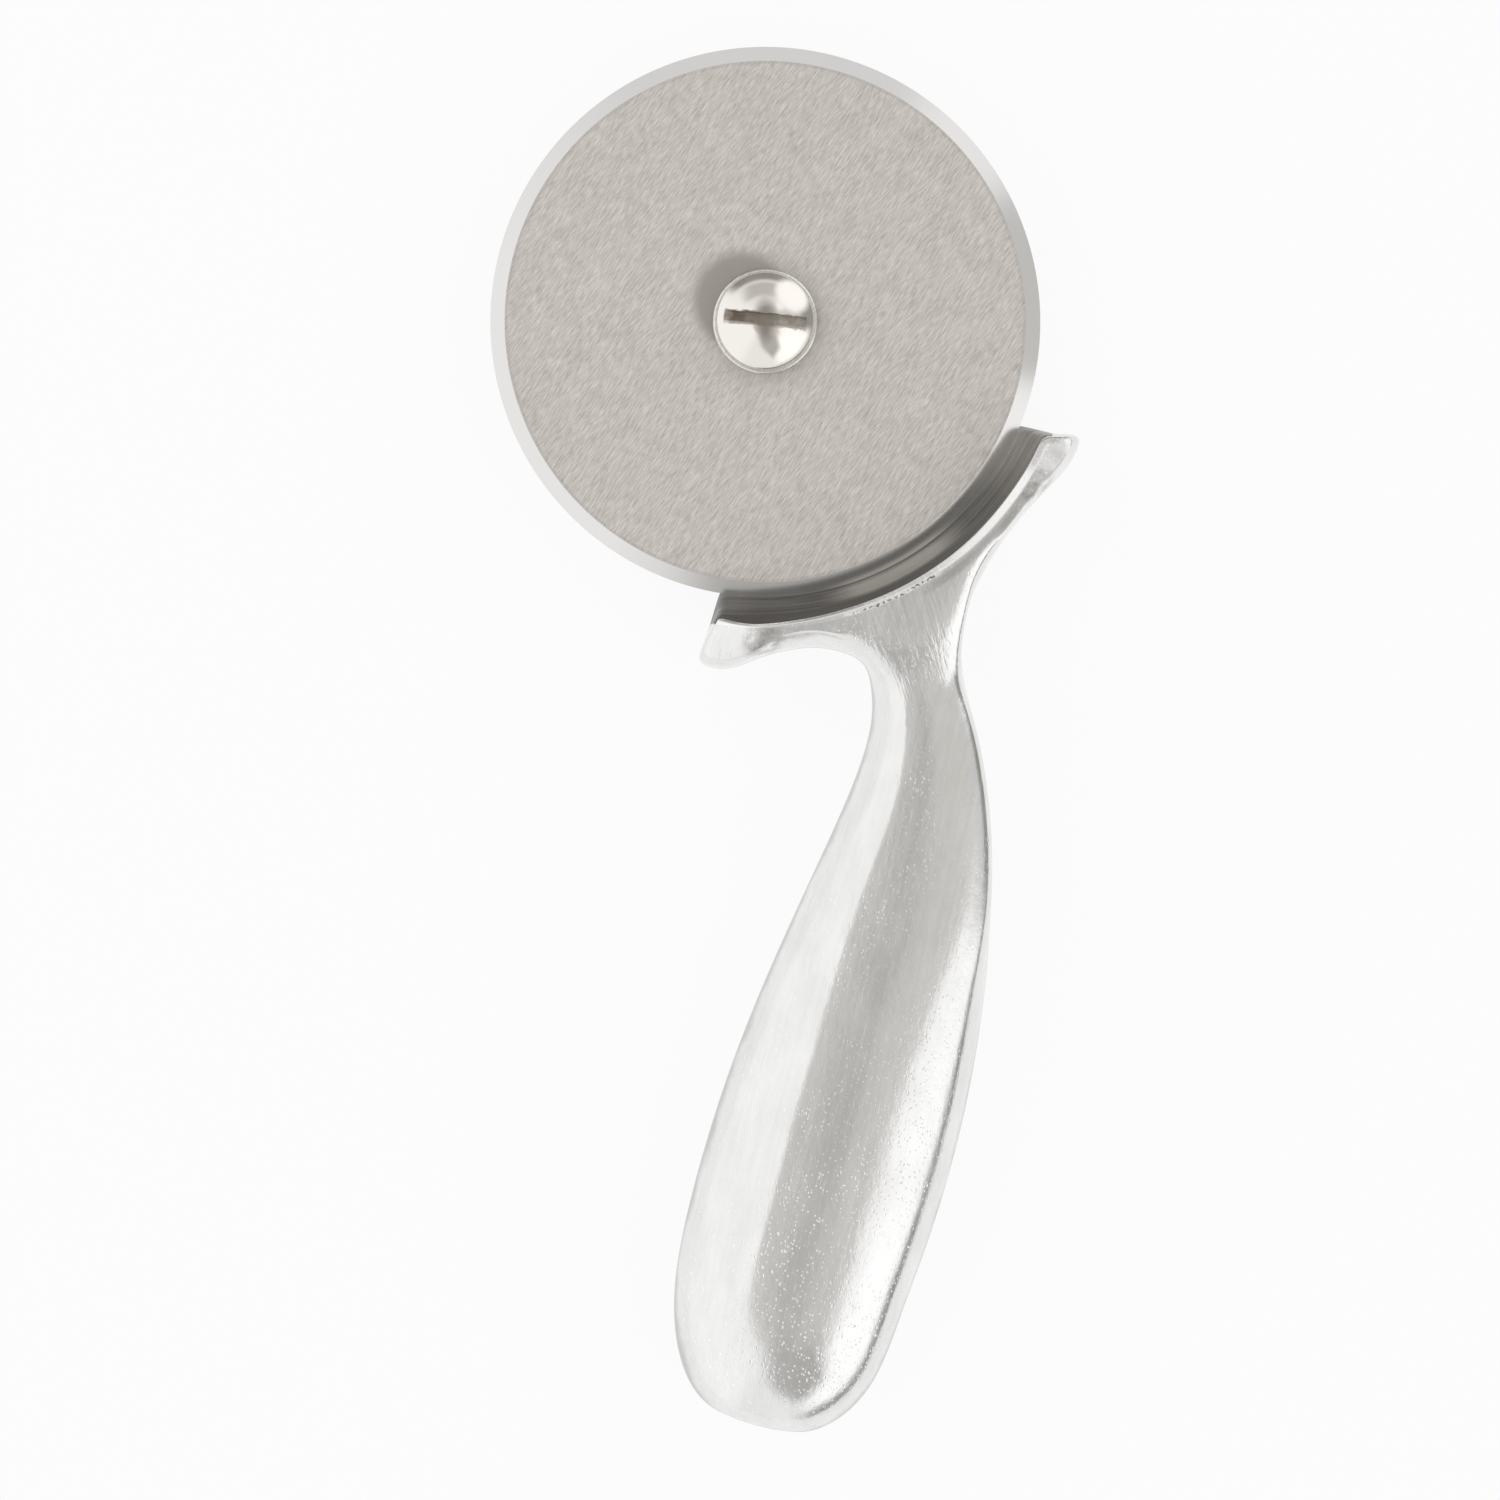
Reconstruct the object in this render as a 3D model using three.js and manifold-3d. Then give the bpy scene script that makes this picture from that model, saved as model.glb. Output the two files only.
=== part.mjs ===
// A pizza cutter: a ground steel wheel that turns on a screw, held by a one-piece cast aluminium handle
// whose curved guard keeps the fingers off the edge. Millimetres, +Z up. The cutter lies on its back,
// with the wheel's axle upright and the screw's head on top, and its origin is under the middle of its box.
// While the pieces are made, the wheel's centre is at zero: X runs across the handle, Y from butt to wheel.

import * as THREE from "three";
import { mergeVertices } from "three/addons/utils/BufferGeometryUtils.js";
import Module from "manifold-3d";

const wasm = await Module();
wasm.setup();

// Wheel: a flat disc, ground to an edge from both faces
const WHEEL_DIAMETER = 101.6;
const WHEEL_THICKNESS = 1.5;
const BEVEL_WIDTH = 2.9;
const EDGE_LAND = 0.2;

// Axle: a slotted screw through a sleeve that the wheel turns on, with a washer on each side of the wheel
const SCREW_DIAMETER = 6;
const SCREW_TIP_CHAMFER = 0.7;
const HEAD_DIAMETER = 18;
const HEAD_HEIGHT = 6;
const HEAD_LIP = 0.7;
const SLOT_WIDTH = 2.3;
const SLOT_DEPTH = 3.6;
const SLOT_TURN = -5;
const SLEEVE_WALL = 1.9;
const SLEEVE_CHAMFER = 0.25;
const HEAD_WASHER_DIAMETER = 19.5;
const HEAD_WASHER_THICKNESS = 1;
const THRUST_WASHER_DIAMETER = 21;
const THRUST_WASHER_THICKNESS = 1;
const WASHER_EDGE_ROUND = 0.25;
const LOCK_WASHER_WALL = 2;
const LOCK_WASHER_THICKNESS = 1.2;
const LOCK_WASHER_SPLIT = 0.8;
const LOCK_WASHER_SPLIT_TURN = 35;
const NUT_ACROSS_FLATS = 10;
const NUT_THICKNESS = 3.2;
const NUT_CHAMFER = 0.6;
const RUNNING_CLEARANCE = 0.1;
const SIDE_CLEARANCE = 0.15;
const SCREW_CLEARANCE = 0.15;

// Arm: the tongue behind the wheel that ends in the boss the screw goes through
const ARM_BEARING = -61;
const BOSS_DIAMETER = 21;
const BOSS_THICKNESS = 6.5;
const BOSS_CHAMFER = 0.8;
const ARM_THICKNESS = 5.2;
const ARM_BOSS_WIDTH = 17;
const ARM_ROOT_WIDTH = 24;
const ARM_EDGE_ROUND = 1.2;
const ARM_ROOT_DEPTH = 2.5;

// Guard: an arc around the wheel, nearest to it along the middle and drawn back to a rim on each side
const GUARD_GAP = 4.4;
const GUARD_CROWN = 2.4;
const GUARD_DEPTH = 26;
const RIM_CHAMFER = 1.2;

// Lines across the guard from its left to its right arm. They run from the neck out along the arms, round the
// tips, and back to the rim. Each end is how far out it lies from the rim's circle, and its bearing from the
// axle in degrees. The middle is only how far out the line lies half-way between those bearings.
const GUARD_LINES = [
  { left: [15.7, -73.7], middle: 17, right: [14.4, -59.4] },
  { left: [10, -74.4], middle: 12, right: [8.1, -53.7] },
  { left: [6.6, -77.8], middle: 7.5, right: [5.1, -46.3] },
  { left: [5.4, -84.6], middle: 3.8, right: [4.3, -37.5] },
  { left: [7.4, -92.9], middle: 2.1, right: [5.3, -30] },
  { left: [9.7, -99.3], middle: 1.5, right: [7, -22.9] },
  { left: [8, -101.5], middle: 1.4, right: [6.2, -19.8] },
  { left: [4.4, -101.3], middle: 1.3, right: [3.4, -20.4] },
  { left: [RIM_CHAMFER, -99.9], middle: RIM_CHAMFER, right: [RIM_CHAMFER, -21.4] },
  { left: [0, -99.1], middle: 0, right: [0, -22.1] },
];

// Grip: a teardrop from the neck to a round butt, raked back from the neck's own direction
const NECK_REACH = 22.1;
const NECK_BEARING = -68;
const NECK_WIDTH = 17.7;
const NECK_DEPTH = 21;
const GRIP_LENGTH = 136.4;
const GRIP_RAKE = 13.1;
const NECK_RAKE = -3;
const NECK_RUN = 20;
const BUTT_RAKE = 14.8;
const BUTT_RUN = 84;
const GRIP_WIDTH = 46;
const GRIP_DEPTH = 26;
const BELLY_FROM_NECK = 84;
const SWELL_SHARPNESS = 1.1;
const BUTT_FULLNESS = 3.3;

// Section shapes: 2 is an ellipse, and a larger number is squarer. A flat share above 1 levels the middle.
const GRIP_SQUARENESS = 2.15;
const NECK_SQUARENESS = 3;
const GUARD_SQUARENESS = 7;
const GUARD_FLAT_SHARE = 1.02;
const NECK_BLEND_INTO_GRIP = 0.5;
const NECK_BLEND_INTO_GUARD = 0.3;

// How finely round and lofted forms are divided
const WHEEL_SIDES = 120;
const ROUND_SIDES = 48;
const DOME_STEPS = 9;
const GRIP_RINGS = 24;
const RING_CROWDING = 0.8;
const GUARD_RINGS_PER_LINE = 2;
const RING_POINTS = 44;
const RING_EVENNESS = 3;

// Places that follow from the sizes
const wheelRadius = WHEEL_DIAMETER / 2;
const rimRadius = wheelRadius + GUARD_GAP;
const screwRadius = SCREW_DIAMETER / 2;
const sleeveBore = screwRadius + SCREW_CLEARANCE;
const sleeveRadius = sleeveBore + SLEEVE_WALL;
const wheelBore = sleeveRadius + RUNNING_CLEARANCE;
const headWasherBottom = WHEEL_THICKNESS / 2 + SIDE_CLEARANCE;
const headBottom = headWasherBottom + HEAD_WASHER_THICKNESS;
const thrustWasherTop = -WHEEL_THICKNESS / 2 - SIDE_CLEARANCE;
const bossTop = thrustWasherTop - THRUST_WASHER_THICKNESS;
const bossBottom = bossTop - BOSS_THICKNESS;
const nutTop = bossBottom - LOCK_WASHER_THICKNESS;
const nutBottom = nutTop - NUT_THICKNESS;

const metal = (color, roughness) => new THREE.MeshStandardMaterial({ color, roughness, metalness: 1 });
const castAluminium = metal(0xd8d8d6, 0.22);
const brushedSteel = metal(0xc4c0ba, 0.42);
const nickelPlate = metal(0xdcd8d0, 0.16);
const bronze = metal(0xb08d57, 0.35);
const zincPlate = metal(0xb4b6b8, 0.38);
const nylon = new THREE.MeshStandardMaterial({ color: 0xece8de, roughness: 0.6, metalness: 0 });

// A point at a distance from the axle, at a bearing in degrees
function polar(radius, degrees) {
  const angle = THREE.MathUtils.degToRad(degrees);
  return new THREE.Vector2(radius * Math.cos(angle), radius * Math.sin(angle));
}

// A closed three.js geometry as a manifold-3d solid
function toSolid(geometry) {
  const bare = geometry.clone();
  bare.deleteAttribute("normal");
  bare.deleteAttribute("uv");
  const merged = mergeVertices(bare, 1e-4);
  const mesh = new wasm.Mesh({
    numProp: 3,
    vertProperties: merged.attributes.position.array,
    triVerts: new Uint32Array(merged.index.array),
  });
  return new wasm.Manifold(mesh);
}

// A manifold-3d solid as a three.js geometry
function toGeometry(solid) {
  const mesh = solid.getMesh();
  const geometry = new THREE.BufferGeometry();
  geometry.setAttribute("position", new THREE.BufferAttribute(mesh.vertProperties, 3));
  geometry.setIndex(new THREE.BufferAttribute(mesh.triVerts, 1));
  geometry.computeVertexNormals();
  return geometry;
}

// A solid turned about the axle from a closed outline of [radius, height], listed with the material on its left
function turned(outline, sides = ROUND_SIDES) {
  const points = outline.map(([radius, height]) => new THREE.Vector2(radius, height));
  if (outline[0][0] > 0) points.push(points[0].clone());
  return new THREE.LatheGeometry(points, sides).rotateX(Math.PI / 2);
}

// A flat ring with its four edges broken by a small chamfer
function ring(inner, outer, bottom, top, chamfer) {
  return turned([
    [inner, bottom + chamfer],
    [inner + chamfer, bottom],
    [outer - chamfer, bottom],
    [outer, bottom + chamfer],
    [outer, top - chamfer],
    [outer - chamfer, top],
    [inner + chamfer, top],
    [inner, top - chamfer],
  ]);
}

function cylinder(radius, bottom, top, sides = ROUND_SIDES) {
  return turned([[0, bottom], [radius, bottom], [radius, top], [0, top]], sides);
}

function box(width, length, height, middleHeight, degrees) {
  const geometry = new THREE.BoxGeometry(width, length, height);
  return geometry.rotateZ(THREE.MathUtils.degToRad(degrees)).translate(0, 0, middleHeight);
}

// The wheel: its two bevels meet in a narrow land at the edge
function cuttingWheel() {
  const half = WHEEL_THICKNESS / 2;
  const flatRadius = wheelRadius - BEVEL_WIDTH;
  return turned(
    [
      [wheelBore, -half],
      [flatRadius, -half],
      [wheelRadius, -EDGE_LAND / 2],
      [wheelRadius, EDGE_LAND / 2],
      [flatRadius, half],
      [wheelBore, half],
    ],
    WHEEL_SIDES,
  );
}

// The screw: a round slotted head over a plain shank, with its thread left out
function axleScrew() {
  const headRadius = HEAD_DIAMETER / 2;
  const domeHeight = HEAD_HEIGHT - HEAD_LIP;
  const domeBottom = headBottom + HEAD_LIP;
  const outline = [
    [0, nutBottom],
    [screwRadius - SCREW_TIP_CHAMFER, nutBottom],
    [screwRadius, nutBottom + SCREW_TIP_CHAMFER],
    [screwRadius, headBottom],
    [headRadius, headBottom],
  ];
  for (let step = 0; step < DOME_STEPS; step++) {
    const angle = (step / DOME_STEPS) * (Math.PI / 2);
    outline.push([headRadius * Math.cos(angle), domeBottom + domeHeight * Math.sin(angle)]);
  }
  outline.push([0, headBottom + HEAD_HEIGHT]);
  const slotTop = headBottom + HEAD_HEIGHT + SLOT_DEPTH;
  const slot = box(HEAD_DIAMETER * 2, SLOT_WIDTH, SLOT_DEPTH * 2, slotTop - SLOT_DEPTH, SLOT_TURN);
  return toGeometry(toSolid(turned(outline)).subtract(toSolid(slot)));
}

const headWasher = () =>
  ring(sleeveBore, HEAD_WASHER_DIAMETER / 2, headWasherBottom, headBottom, WASHER_EDGE_ROUND);

const axleSleeve = () => ring(sleeveBore, sleeveRadius, bossTop, headWasherBottom, SLEEVE_CHAMFER);

const thrustWasher = () =>
  ring(wheelBore, THRUST_WASHER_DIAMETER / 2, bossTop, thrustWasherTop, WASHER_EDGE_ROUND);

// The spring washer under the nut, cut through at a slant
function lockWasher() {
  const outer = sleeveBore + LOCK_WASHER_WALL;
  const whole = toSolid(ring(sleeveBore, outer, nutTop, bossBottom, WASHER_EDGE_ROUND));
  const split = new THREE.BoxGeometry(outer, LOCK_WASHER_SPLIT, LOCK_WASHER_THICKNESS * 4);
  split.rotateX(THREE.MathUtils.degToRad(LOCK_WASHER_SPLIT_TURN));
  split.translate(outer / 2 + sleeveBore / 2, 0, (nutTop + bossBottom) / 2);
  return toGeometry(whole.subtract(toSolid(split)));
}

// The jam nut: a hexagon with its corners turned off at the outer end
function lockNut() {
  const flat = NUT_ACROSS_FLATS / 2;
  const corner = flat / Math.cos(Math.PI / 6);
  const hexagon = toSolid(cylinder(corner, nutBottom, nutTop, 6));
  const turnedOff = toSolid(
    turned([
      [0, nutBottom],
      [flat, nutBottom],
      [corner + NUT_CHAMFER, nutBottom + NUT_CHAMFER + corner - flat],
      [corner + NUT_CHAMFER, nutTop],
      [0, nutTop],
    ]),
  );
  const bore = toSolid(cylinder(sleeveBore, nutBottom - NUT_THICKNESS, nutTop + NUT_THICKNESS));
  return toGeometry(hexagon.intersect(turnedOff).subtract(bore));
}

// The direction down the handle at a rake from the Y axis
function raked(degrees) {
  const rake = THREE.MathUtils.degToRad(degrees);
  return new THREE.Vector2(-Math.sin(rake), -Math.cos(rake));
}

// The line from the neck down the middle of the grip: it leaves the neck nearly straight and then rakes back
function gripLine() {
  const neck = polar(rimRadius + NECK_REACH, NECK_BEARING);
  const butt = neck.clone().addScaledVector(raked(GRIP_RAKE), GRIP_LENGTH);
  const leaving = neck.clone().addScaledVector(raked(NECK_RAKE), NECK_RUN);
  const arriving = butt.clone().addScaledVector(raked(BUTT_RAKE), -BUTT_RUN);
  return new THREE.CubicBezierCurve(neck, leaving, arriving, butt);
}

// How full the grip is at a share of its length: it swells from neck to belly, then rounds off to the butt
function gripSwell(share, neckSize, bellySize) {
  const bellyShare = BELLY_FROM_NECK / GRIP_LENGTH;
  if (share < bellyShare) {
    const swelling = Math.sin((Math.PI / 2) * (share / bellyShare)) ** SWELL_SHARPNESS;
    return neckSize + (bellySize - neckSize) * swelling;
  }
  const past = Math.min(1, (share - bellyShare) / (1 - bellyShare));
  return bellySize * Math.sqrt(1 - past ** BUTT_FULLNESS);
}

// The grip's sections, from the butt to the neck. Each holds its left, middle and right point in plan.
function gripSections() {
  const line = gripLine();
  const sections = [];
  for (let i = 1; i <= GRIP_RINGS; i++) {
    const share = Math.cos((i / GRIP_RINGS) * (Math.PI / 2)) ** RING_CROWDING;
    const middle = line.getPointAt(share);
    const along = line.getTangentAt(share);
    const across = new THREE.Vector2(-along.y, along.x);
    const halfWidth = gripSwell(share, NECK_WIDTH, GRIP_WIDTH) / 2;
    const blend = Math.min(1, share / NECK_BLEND_INTO_GRIP);
    sections.push({
      left: middle.clone().addScaledVector(across, -halfWidth),
      middle,
      right: middle.clone().addScaledVector(across, halfWidth),
      halfDepth: gripSwell(share, NECK_DEPTH, GRIP_DEPTH) / 2,
      squareness: THREE.MathUtils.lerp(NECK_SQUARENESS, GRIP_SQUARENESS, blend),
      flatShare: 1,
    });
  }
  return sections;
}

// The guard's sections, from the neck to the rim: arcs that open out from the neck's width to the tips
function guardSections(neck) {
  const end = ([out, degrees]) => polar(rimRadius + out, degrees);
  const between = ({ left, middle, right }) => polar(rimRadius + middle, (left[1] + right[1]) / 2);
  const leftCurve = new THREE.SplineCurve([neck.left, ...GUARD_LINES.map((line) => end(line.left))]);
  const middleCurve = new THREE.SplineCurve([neck.middle, ...GUARD_LINES.map(between)]);
  const rightCurve = new THREE.SplineCurve([neck.right, ...GUARD_LINES.map((line) => end(line.right))]);
  const lines = GUARD_LINES.length;
  const sections = [];
  for (let i = 1; i <= lines * GUARD_RINGS_PER_LINE; i++) {
    const share = i / (lines * GUARD_RINGS_PER_LINE);
    const blend = THREE.MathUtils.smoothstep(share, 0, NECK_BLEND_INTO_GUARD);
    const downChamfer = Math.max(0, share * lines - (lines - 1));
    const depth = THREE.MathUtils.lerp(NECK_DEPTH, GUARD_DEPTH, blend);
    sections.push({
      left: leftCurve.getPoint(share),
      middle: middleCurve.getPoint(share),
      right: rightCurve.getPoint(share),
      halfDepth: depth / 2 - RIM_CHAMFER * downChamfer,
      squareness: THREE.MathUtils.lerp(NECK_SQUARENESS, GUARD_SQUARENESS, blend),
      flatShare: THREE.MathUtils.lerp(1, GUARD_FLAT_SHARE, blend),
    });
  }
  return sections;
}

// The round arc through a section's three points in plan, from -1 at its left to 1 at its right
function planArc(left, middle, right) {
  const halfChord = left.distanceTo(right) / 2;
  const along = right.clone().sub(left).normalize();
  const outward = new THREE.Vector2(-along.y, along.x);
  const centre = left.clone().lerp(right, 0.5);
  const rise = middle.clone().sub(centre);
  const sagitta = rise.dot(outward);
  const drift = rise.dot(along);
  const halfAngle = Math.max(2 * Math.atan(Math.abs(sagitta) / halfChord), 1e-3);
  return (t) => {
    const forward = (halfChord * Math.sin(halfAngle * t)) / Math.sin(halfAngle) + drift * (1 - t * t);
    const bulge = (Math.cos(halfAngle * t) - Math.cos(halfAngle)) / (1 - Math.cos(halfAngle));
    return centre.clone().addScaledVector(along, forward).addScaledVector(outward, sagitta * bulge);
  };
}

// A section's points: a rounded form stretched along its arc, from the right end over the top and back below
function sectionPoints({ left, middle, right, halfDepth, squareness, flatShare }) {
  const arc = planArc(left, middle, right);
  const points = [];
  for (let k = 0; k < RING_POINTS; k++) {
    const angle = (k / RING_POINTS) * 2 * Math.PI;
    const atEnd = k % (RING_POINTS / 2) === 0;
    const cosine = atEnd ? Math.sign(Math.cos(angle)) : Math.cos(angle);
    const across = Math.sign(cosine) * Math.abs(cosine) ** (2 / RING_EVENNESS);
    const height = (1 - Math.abs(across) ** squareness) ** (1 / squareness);
    const level = Math.min(1, flatShare * height) * Math.sign(Math.PI - angle);
    const plan = arc(across);
    points.push([plan.x, plan.y, level * halfDepth]);
  }
  return points;
}

// The handle's body as one skin: rings from the butt to the rim, closed by a point and by the crowned inner face
function handleBody() {
  const grip = gripSections();
  const sections = [...grip, ...guardSections(grip[grip.length - 1])];
  const rings = sections.map(sectionPoints);
  const vertices = rings.flat();
  const triangles = [];
  const at = (ringIndex, k) => ringIndex * RING_POINTS + (k % RING_POINTS);
  for (let i = 0; i + 1 < rings.length; i++) {
    for (let k = 0; k < RING_POINTS; k++) {
      triangles.push(at(i, k), at(i + 1, k + 1), at(i, k + 1));
      triangles.push(at(i, k), at(i + 1, k), at(i + 1, k + 1));
    }
  }
  const butt = gripLine().getPoint(1);
  const buttIndex = vertices.push([butt.x, butt.y, 0]) - 1;
  for (let k = 0; k < RING_POINTS; k++) {
    triangles.push(buttIndex, at(0, k), at(0, k + 1));
  }
  const last = rings.length - 1;
  const half = RING_POINTS / 2;
  const rimHeight = sections[last].halfDepth;
  const crown = [];
  for (let k = 0; k <= half; k++) {
    const [x, y, z] = rings[last][k];
    if (k === 0 || k === half) {
      crown.push(at(last, k));
      continue;
    }
    const inward = 1 - (GUARD_CROWN * (z / rimHeight)) / Math.hypot(x, y);
    crown.push(vertices.push([x * inward, y * inward, 0]) - 1);
  }
  for (let k = 0; k < half; k++) {
    const front = [at(last, k), at(last, k + 1)];
    const back = [at(last, RING_POINTS - k), at(last, RING_POINTS - k - 1)];
    triangles.push(front[0], crown[k + 1], front[1]);
    triangles.push(front[0], crown[k], crown[k + 1]);
    triangles.push(back[1], crown[k], back[0]);
    triangles.push(back[1], crown[k + 1], crown[k]);
  }
  const kept = [];
  for (let i = 0; i < triangles.length; i += 3) {
    const [a, b, c] = triangles.slice(i, i + 3);
    if (a !== b && b !== c && a !== c) kept.push(a, b, c);
  }
  const geometry = new THREE.BufferGeometry();
  geometry.setAttribute("position", new THREE.Float32BufferAttribute(vertices.flat(), 3));
  geometry.setIndex(kept);
  return geometry;
}

// The tongue from the guard to the boss, drawn along +X and then turned to the neck's bearing
function armTongue() {
  const root = rimRadius + ARM_ROOT_DEPTH;
  const outline = new THREE.Shape();
  outline.moveTo(0, -ARM_BOSS_WIDTH / 2);
  outline.lineTo(root, -ARM_ROOT_WIDTH / 2);
  outline.lineTo(root, ARM_ROOT_WIDTH / 2);
  outline.lineTo(0, ARM_BOSS_WIDTH / 2);
  outline.closePath();
  const geometry = new THREE.ExtrudeGeometry(outline, {
    depth: ARM_THICKNESS - 2 * ARM_EDGE_ROUND,
    bevelEnabled: true,
    bevelThickness: ARM_EDGE_ROUND,
    bevelSize: ARM_EDGE_ROUND,
    bevelOffset: -ARM_EDGE_ROUND,
    bevelSegments: 3,
  });
  geometry.translate(0, 0, bossBottom + BOSS_CHAMFER / 2 + ARM_EDGE_ROUND);
  return geometry.rotateZ(THREE.MathUtils.degToRad(ARM_BEARING));
}

function axleBoss() {
  const radius = BOSS_DIAMETER / 2;
  return turned([
    [0, bossBottom],
    [radius - BOSS_CHAMFER, bossBottom],
    [radius, bossBottom + BOSS_CHAMFER],
    [radius, bossTop - BOSS_CHAMFER],
    [radius - BOSS_CHAMFER, bossTop],
    [0, bossTop],
  ]);
}

// The casting: grip, neck and guard in one skin, with the arm and boss joined on and the screw's hole through
function handleCasting() {
  const bore = cylinder(sleeveBore, bossBottom - BOSS_THICKNESS, bossTop + BOSS_THICKNESS);
  const joined = toSolid(handleBody()).add(toSolid(armTongue())).add(toSolid(axleBoss()));
  return toGeometry(joined.subtract(toSolid(bore)));
}

// The pieces, in the order that they go together
const cutter = new THREE.Group();
const pieces = [
  ["handle_casting", handleCasting(), castAluminium],
  ["thrust_washer", thrustWasher(), nylon],
  ["axle_sleeve", axleSleeve(), bronze],
  ["cutting_wheel", cuttingWheel(), brushedSteel],
  ["head_washer", headWasher(), zincPlate],
  ["axle_screw", axleScrew(), nickelPlate],
  ["lock_washer", lockWasher(), zincPlate],
  ["lock_nut", lockNut(), zincPlate],
];
for (const [name, geometry, material] of pieces) {
  const mesh = new THREE.Mesh(geometry, material);
  mesh.name = name;
  cutter.add(mesh);
}

// Lay the cutter down with the middle of its box over the origin
const extent = new THREE.Box3().setFromObject(cutter);
const middle = extent.getCenter(new THREE.Vector3());
cutter.position.set(-middle.x, -middle.y, -extent.min.z);

const pizzaCutter = new THREE.Group();
pizzaCutter.add(cutter);
export default pizzaCutter;
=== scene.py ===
import math

import bmesh
import bpy
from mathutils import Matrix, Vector


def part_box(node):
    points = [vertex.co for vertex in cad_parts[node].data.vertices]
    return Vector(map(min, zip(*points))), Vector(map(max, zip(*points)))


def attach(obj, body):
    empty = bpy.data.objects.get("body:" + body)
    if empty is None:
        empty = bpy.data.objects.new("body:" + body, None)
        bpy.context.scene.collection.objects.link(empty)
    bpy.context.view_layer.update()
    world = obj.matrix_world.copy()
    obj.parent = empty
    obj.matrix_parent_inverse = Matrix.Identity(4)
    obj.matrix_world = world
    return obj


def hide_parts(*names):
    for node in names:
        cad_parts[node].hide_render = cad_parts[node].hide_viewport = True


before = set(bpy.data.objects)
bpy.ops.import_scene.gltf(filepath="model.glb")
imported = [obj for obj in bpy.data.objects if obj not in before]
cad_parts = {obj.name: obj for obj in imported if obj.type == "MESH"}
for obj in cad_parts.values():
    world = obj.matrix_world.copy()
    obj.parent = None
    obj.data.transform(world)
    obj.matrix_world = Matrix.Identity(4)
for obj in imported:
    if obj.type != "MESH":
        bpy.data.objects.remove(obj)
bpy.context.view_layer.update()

# The handle casting: one piece of aluminium, sand cast and then polished all over. A guard curves around the
# wheel, a neck joins it to a teardrop grip raked back from it, and an arm behind the wheel ends in the boss
# that the axle screw goes through. A coarse cage is modelled first, and subdivision rounds it off.

mm = 0.001
wheel_low, wheel_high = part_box("cutting_wheel")
axle = (wheel_low + wheel_high) / 2


def pick(kind, test):
    """Select in edit mode the vertices, edges or faces that pass a test."""
    bpy.ops.mesh.select_mode(type=kind)
    bpy.ops.mesh.select_all(action="DESELECT")
    mesh = bpy.context.edit_object.data
    shape = bmesh.from_edit_mesh(mesh)
    parts = {"VERT": shape.verts, "EDGE": shape.edges, "FACE": shape.faces}[kind]
    for part in parts:
        part.select_set(bool(test(part)))
    shape.select_flush_mode()
    bmesh.update_edit_mesh(mesh)


def turn(degrees, about):
    """Turn what is selected about an upright line."""
    bpy.ops.transform.rotate(
        value=-math.radians(degrees), orient_axis="Z", orient_type="GLOBAL", center_override=about
    )


def stretch(factors, about):
    bpy.ops.transform.resize(value=factors, orient_type="GLOBAL", center_override=about)


def shift(x=0.0, y=0.0, z=0.0):
    bpy.ops.transform.translate(value=(x, y, z))


def reach(point):
    """How far a point is from the axle."""
    return math.hypot(point.x - axle.x, point.y - axle.y)


def bearing(point):
    """A point's direction from the axle, in degrees."""
    return math.degrees(math.atan2(point.y - axle.y, point.x - axle.x))


def out_from_axle(distance, degrees):
    """A point in the wheel's plane at a distance from the axle and a bearing."""
    angle = math.radians(degrees)
    return axle + Vector((distance * math.cos(angle), distance * math.sin(angle), 0))


def face_outwards():
    """Turn every face outwards and leave edit mode."""
    bpy.ops.mesh.select_all(action="SELECT")
    bpy.ops.mesh.normals_make_consistent(inside=False)
    bpy.ops.object.mode_set(mode="OBJECT")


# The guard starts as a flat section at its left tip, with a narrow band filed off its rim and its outer
# corners rounded. Its inner wall leans in from the rim, and reaches a little behind the wheel.
rim = 55.2 * mm
guard_depth = 26 * mm
rim_chamfer = 0.5 * mm
outer_round = 1.5 * mm
tolerance = 0.1 * mm
# Bearing, radius of the rim, width of its band and radius of the outer side in millimetres, and share of the
# full depth, from the left tip to the right tip. Both tips are ground down from the flat front.
guard_stations = [
    (-99.0, 55.2, 0.5, 64.4, 0.83),
    (-96.8, 55.9, 0.5, 65.1, 0.88),
    (-92.5, 56.1, 0.5, 62.8, 0.985),
    (-90.9, 56.0, 0.5, 62.0, 1.0),
    (-87.0, 55.8, 0.5, 60.9, 1.0),
    (-81.5, 55.5, 0.55, 60.5, 1.0),
    (-76.5, 55.3, 0.6, 62.6, 1.0),
    (-70.0, 55.2, 0.7, 65.0, 1.0),
    (-63.5, 55.2, 0.9, 66.0, 1.0),
    (-57.0, 55.2, 1.2, 65.0, 1.0),
    (-50.5, 55.2, 1.45, 61.8, 1.0),
    (-45.0, 55.2, 1.5, 60.0, 1.0),
    (-38.0, 55.2, 1.5, 59.3, 1.0),
    (-31.5, 55.2, 1.45, 60.3, 1.0),
    (-29.0, 55.2, 1.4, 61.0, 0.985),
    (-25.8, 55.2, 1.2, 62.1, 0.92),
    (-22.6, 55.2, 1.0, 62.4, 0.86),
]
neck_left = -76.5
neck_right = -50.5

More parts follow.
